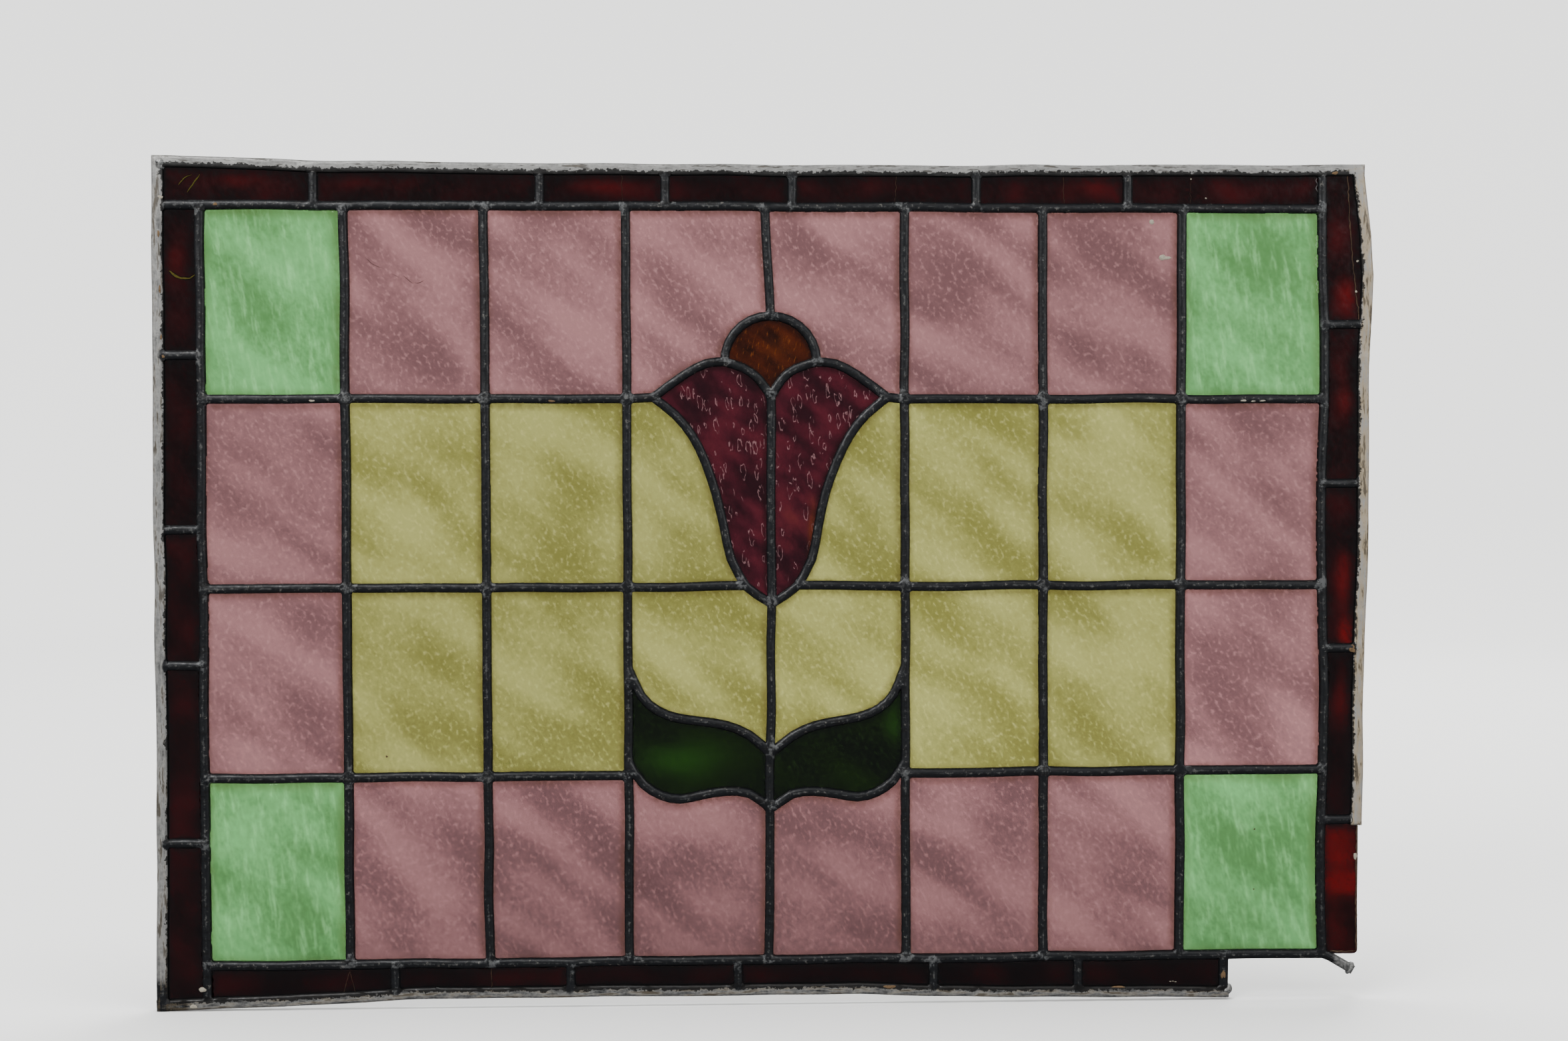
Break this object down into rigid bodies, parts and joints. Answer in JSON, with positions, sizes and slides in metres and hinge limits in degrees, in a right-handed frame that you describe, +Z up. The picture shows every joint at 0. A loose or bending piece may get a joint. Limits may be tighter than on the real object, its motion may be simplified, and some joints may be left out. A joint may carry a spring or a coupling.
{
  "type": "stained glass window",
  "caption": "Leaded light panel of coloured glass with a tulip in a rectangular grid and a narrow ruby border, one lower corner broken away.",
  "frame": {"origin": "under the middle of the bottom edge came, on its flat underside, at the middle of the panel's thickness", "axes": "+X to the right as seen from the front, +Y from the front to the back, +Z up the panel"},
  "size_m": [0.8446, 0.0068, 0.5879],
  "materials": {
    "lead": "dull dark lead came, with soldered joints, chalky oxide and old cement",
    "green_glass": "streaky soft green cathedral glass",
    "mauve_glass": "mottled mauve pink cathedral glass",
    "yellow_glass": "mottled pale olive yellow cathedral glass",
    "ruby_glass": "very dark ruby glass",
    "wine_glass": "dark wine red hammered glass",
    "amber_glass": "dark amber brown hammered glass",
    "bottle_green_glass": "dark bottle green glass"
  },
  "bodies": {
    "root": {"green_r1_c1": "green_glass", "green_r1_c8": "green_glass", "green_r4_c1": "green_glass", "green_r4_c8": "green_glass", "lead_cames": "lead", "leaf_left": "bottle_green_glass", "leaf_right": "bottle_green_glass", "mauve_r1_c2": "mauve_glass", "mauve_r1_c3": "mauve_glass", "mauve_r1_c4": "mauve_glass", "mauve_r1_c5": "mauve_glass", "mauve_r1_c6": "mauve_glass", "mauve_r1_c7": "mauve_glass", "mauve_r2_c1": "mauve_glass", "mauve_r2_c8": "mauve_glass", "mauve_r3_c1": "mauve_glass", "mauve_r3_c8": "mauve_glass", "mauve_r4_c2": "mauve_glass", "mauve_r4_c3": "mauve_glass", "mauve_r4_c4": "mauve_glass", "mauve_r4_c5": "mauve_glass", "mauve_r4_c6": "mauve_glass", "mauve_r4_c7": "mauve_glass", "petal_left": "wine_glass", "petal_right": "wine_glass", "ruby_left_1": "ruby_glass", "ruby_left_2": "ruby_glass", "ruby_left_3": "ruby_glass", "ruby_left_4": "ruby_glass", "ruby_left_5": "ruby_glass", "ruby_right_1": "ruby_glass", "ruby_right_2": "ruby_glass", "ruby_right_3": "ruby_glass", "ruby_right_4": "ruby_glass", "ruby_right_5": "ruby_glass", "ruby_sill_1": "ruby_glass", "ruby_sill_2": "ruby_glass", "ruby_sill_3": "ruby_glass", "ruby_sill_4": "ruby_glass", "ruby_sill_5": "ruby_glass", "ruby_sill_6": "ruby_glass", "ruby_top_1": "ruby_glass", "ruby_top_2": "ruby_glass", "ruby_top_3": "ruby_glass", "ruby_top_5": "ruby_glass", "ruby_top_6": "ruby_glass", "ruby_top_7": "ruby_glass", "tulip_heart": "amber_glass", "yellow_r2_c2": "yellow_glass", "yellow_r2_c3": "yellow_glass", "yellow_r2_c4": "yellow_glass", "yellow_r2_c5": "yellow_glass", "yellow_r2_c6": "yellow_glass", "yellow_r2_c7": "yellow_glass", "yellow_r3_c2": "yellow_glass", "yellow_r3_c3": "yellow_glass", "yellow_r3_c4": "yellow_glass", "yellow_r3_c5": "yellow_glass", "yellow_r3_c6": "yellow_glass", "yellow_r3_c7": "yellow_glass"}
  },
  "joints": []
}
